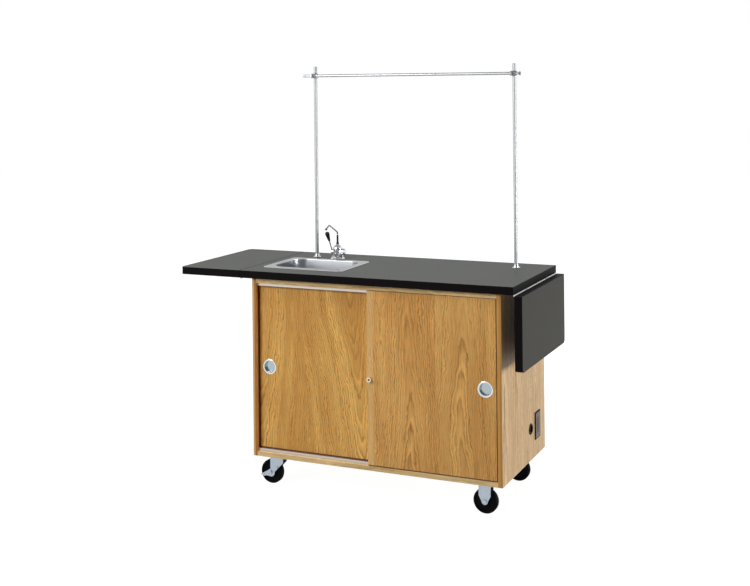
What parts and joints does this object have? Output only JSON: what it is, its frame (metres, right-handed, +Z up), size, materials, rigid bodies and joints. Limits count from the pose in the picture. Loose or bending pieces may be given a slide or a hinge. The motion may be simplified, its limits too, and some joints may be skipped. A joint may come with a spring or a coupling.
{
  "type": "mobile science demonstration station",
  "caption": "Wheeled oak demonstration cabinet with a black worktop, drop leaves, sink, hand pump faucet, sliding doors and a rod frame.",
  "frame": {"origin": "on the floor, under the middle of the box that holds the station with its left leaf raised and its right leaf hanging", "axes": "+X to the right of someone facing the sliding doors, +Y from the doors to the back, +Z up along the uprights"},
  "size_m": [1.5518, 0.6096, 1.787],
  "materials": {
    "oak_panel": "satin varnish",
    "oak_door": "satin varnish",
    "inner_board": "satin",
    "black_laminate": "satin laminate on board",
    "track_aluminium": "satin anodised",
    "rod_aluminium": "satin",
    "stainless": "brushed",
    "bright_chrome": "polished",
    "spout_chrome": "polished, dark reflections",
    "nickel": "satin nickel",
    "zinc_steel": "zinc plated",
    "clamp_casting": "plated casting",
    "hinge_steel": "plated",
    "drain_brass": "chromed brass",
    "drain_pipe_plastic": "moulded",
    "black_grip": "moulded",
    "tank_plastic": "translucent blow moulding",
    "cap_plastic": "moulded",
    "tube_plastic": "clear vinyl",
    "plate_plastic": "moulded dark brown",
    "receptacle_plastic": "moulded brown grey",
    "button_plastic": "moulded",
    "box_steel": "galvanised",
    "inlet_plastic": "moulded dark",
    "wheel_rubber": "moulded"
  },
  "bodies": {
    "cabinet": {"side_panel_left": "oak_panel", "side_panel_right": "oak_panel", "bottom_panel": "oak_panel", "back_panel": "oak_panel", "top_rails": "oak_panel", "centre_partition": "inner_board", "shelf": "inner_board", "shelf_pins": "zinc_steel", "upper_track": "track_aluminium", "lower_track": "track_aluminium", "worktop": "black_laminate", "hinge_fixed_flaps": "hinge_steel", "bracket_plates": "hinge_steel", "sink": "stainless", "sink_drain": "drain_brass", "water_tanks": "tank_plastic", "tank_caps": "cap_plastic", "supply_tube": "tube_plastic", "faucet_base": "bright_chrome", "pump_body": "bright_chrome", "rod_sockets": "bright_chrome", "outlet_box": "box_steel", "receptacle": "receptacle_plastic", "wall_plate": "plate_plastic", "power_inlet": "inlet_plastic", "caster_plates": "zinc_steel", "rigid_forks": "zinc_steel"},
    "left_leaf": {"leaf_left": "black_laminate", "hinge_flaps_left": "hinge_steel", "bracket_arms_left": "hinge_steel"},
    "right_leaf": {"leaf_right": "black_laminate", "hinge_flaps_right": "hinge_steel", "bracket_arms_right": "hinge_steel"},
    "left_door": {"door_left": "oak_door", "pull_left": "nickel"},
    "right_door": {"door_right": "oak_door", "pull_right": "nickel", "lock_housing": "nickel"},
    "lock_cylinder": {"lock_plug": "nickel"},
    "faucet_spout": {"spout": "spout_chrome"},
    "faucet_lever": {"pump_lever": "bright_chrome", "lever_grip": "black_grip"},
    "strainer": {"sink_strainer": "stainless"},
    "rod_frame": {"upright_rods": "rod_aluminium"},
    "cross_rod": {"crossbar": "rod_aluminium", "rod_clamps": "clamp_casting"},
    "screw_crossbar_left": {"thumbscrew_crossbar_left": "bright_chrome"},
    "screw_crossbar_right": {"thumbscrew_crossbar_right": "bright_chrome"},
    "screw_upright_left": {"thumbscrew_upright_left": "bright_chrome"},
    "screw_upright_right": {"thumbscrew_upright_right": "bright_chrome"},
    "test_key": {"test_button": "button_plastic"},
    "reset_key": {"reset_button": "button_plastic"},
    "caster_front_left": {"fork_front_left": "zinc_steel"},
    "brake_front_left": {"pedal_front_left": "zinc_steel"},
    "roller_front_left": {"wheel_front_left": "wheel_rubber"},
    "roller_front_right": {"wheel_front_right": "wheel_rubber"},
    "caster_back_left": {"fork_back_left": "zinc_steel"},
    "brake_back_left": {"pedal_back_left": "zinc_steel"},
    "roller_back_left": {"wheel_back_left": "wheel_rubber"},
    "roller_back_right": {"wheel_back_right": "wheel_rubber"}
  },
  "joints": [
    {"name": "left_leaf_hinge", "type": "hinge", "parent": "cabinet", "child": "left_leaf", "pos_m": [-0.47983, 0, 0.87945], "axis": [0, -1, 0], "range_deg": [0, 90]},
    {"name": "right_leaf_hinge", "type": "hinge", "parent": "cabinet", "child": "right_leaf", "pos_m": [0.74098, 0, 0.87945], "axis": [0, -1, 0], "range_deg": [0, 90]},
    {"name": "left_door_slide", "type": "slide", "parent": "cabinet", "child": "left_door", "axis": [1, 0, 0], "range_m": [0, 0.515]},
    {"name": "right_door_slide", "type": "slide", "parent": "cabinet", "child": "right_door", "axis": [1, 0, 0], "range_m": [-0.515, 0]},
    {"name": "lock_turn", "type": "hinge", "parent": "right_door", "child": "lock_cylinder", "pos_m": [0.12168, -0.2905, 0.49943], "axis": [0, -1, 0], "range_deg": [0, 90]},
    {"name": "spout_swivel", "type": "hinge", "parent": "cabinet", "child": "faucet_spout", "pos_m": [-0.23262, 0.1502, 0.9814], "axis": [0, 0, 1], "range_deg": [-75, 75]},
    {"name": "pump_stroke", "type": "hinge", "parent": "cabinet", "child": "faucet_lever", "pos_m": [-0.25862, 0.1502, 0.9464], "axis": [-1, 0, 0], "range_deg": [0, 60]},
    {"name": "strainer_lift", "type": "slide", "parent": "cabinet", "child": "strainer", "axis": [0, 0, 1], "range_m": [0, 0.03]},
    {"name": "rod_frame_lift", "type": "slide", "parent": "cabinet", "child": "rod_frame", "axis": [0, 0, 1], "range_m": [0, 0.045]},
    {"name": "crossbar_height", "type": "slide", "parent": "rod_frame", "child": "cross_rod", "axis": [0, 0, 1], "range_m": [-0.6, 0.025]},
    {"name": "crossbar_screw_left_turn", "type": "hinge", "parent": "cross_rod", "child": "screw_crossbar_left", "pos_m": [-0.34403, 0.12291, 1.7446], "axis": [0, -1, 0], "continuous": true},
    {"name": "upright_screw_left_turn", "type": "hinge", "parent": "cross_rod", "child": "screw_upright_left", "pos_m": [-0.36402, 0.1652, 1.7446], "axis": [-1, 0, 0], "continuous": true},
    {"name": "crossbar_screw_right_turn", "type": "hinge", "parent": "cross_rod", "child": "screw_crossbar_right", "pos_m": [0.60518, 0.12291, 1.7446], "axis": [0, -1, 0], "continuous": true},
    {"name": "upright_screw_right_turn", "type": "hinge", "parent": "cross_rod", "child": "screw_upright_right", "pos_m": [0.62518, 0.1652, 1.7446], "axis": [1, 0, 0], "continuous": true},
    {"name": "test_press", "type": "slide", "parent": "cabinet", "child": "test_key", "axis": [-1, 0, 0], "range_m": [0, 0.001], "stiffness_N_per_m": 400},
    {"name": "reset_press", "type": "slide", "parent": "cabinet", "child": "reset_key", "axis": [-1, 0, 0], "range_m": [0, 0.001], "stiffness_N_per_m": 400},
    {"name": "swivel_front_left", "type": "hinge", "parent": "cabinet", "child": "caster_front_left", "pos_m": [-0.33705, -0.2334, 0.116], "axis": [0, 0, 1], "continuous": true},
    {"name": "brake_front_left_press", "type": "hinge", "parent": "caster_front_left", "child": "brake_front_left", "pos_m": [-0.36505, -0.2543, 0.0508], "axis": [0, -1, 0], "range_deg": [0, 20]},
    {"name": "spin_front_left", "type": "hinge", "parent": "caster_front_left", "child": "roller_front_left", "pos_m": [-0.36505, -0.2334, 0.0508], "axis": [0, 1, 0], "continuous": true},
    {"name": "spin_front_right", "type": "hinge", "parent": "cabinet", "child": "roller_front_right", "pos_m": [0.5973, -0.2334, 0.0508], "axis": [0, 1, 0], "continuous": true},
    {"name": "swivel_back_left", "type": "hinge", "parent": "cabinet", "child": "caster_back_left", "pos_m": [-0.33705, 0.1952, 0.116], "axis": [0, 0, 1], "continuous": true},
    {"name": "brake_back_left_press", "type": "hinge", "parent": "caster_back_left", "child": "brake_back_left", "pos_m": [-0.36505, 0.1743, 0.0508], "axis": [0, -1, 0], "range_deg": [0, 20]},
    {"name": "spin_back_left", "type": "hinge", "parent": "caster_back_left", "child": "roller_back_left", "pos_m": [-0.36505, 0.1952, 0.0508], "axis": [0, 1, 0], "continuous": true},
    {"name": "spin_back_right", "type": "hinge", "parent": "cabinet", "child": "roller_back_right", "pos_m": [0.5973, 0.1952, 0.0508], "axis": [0, 1, 0], "continuous": true}
  ]
}
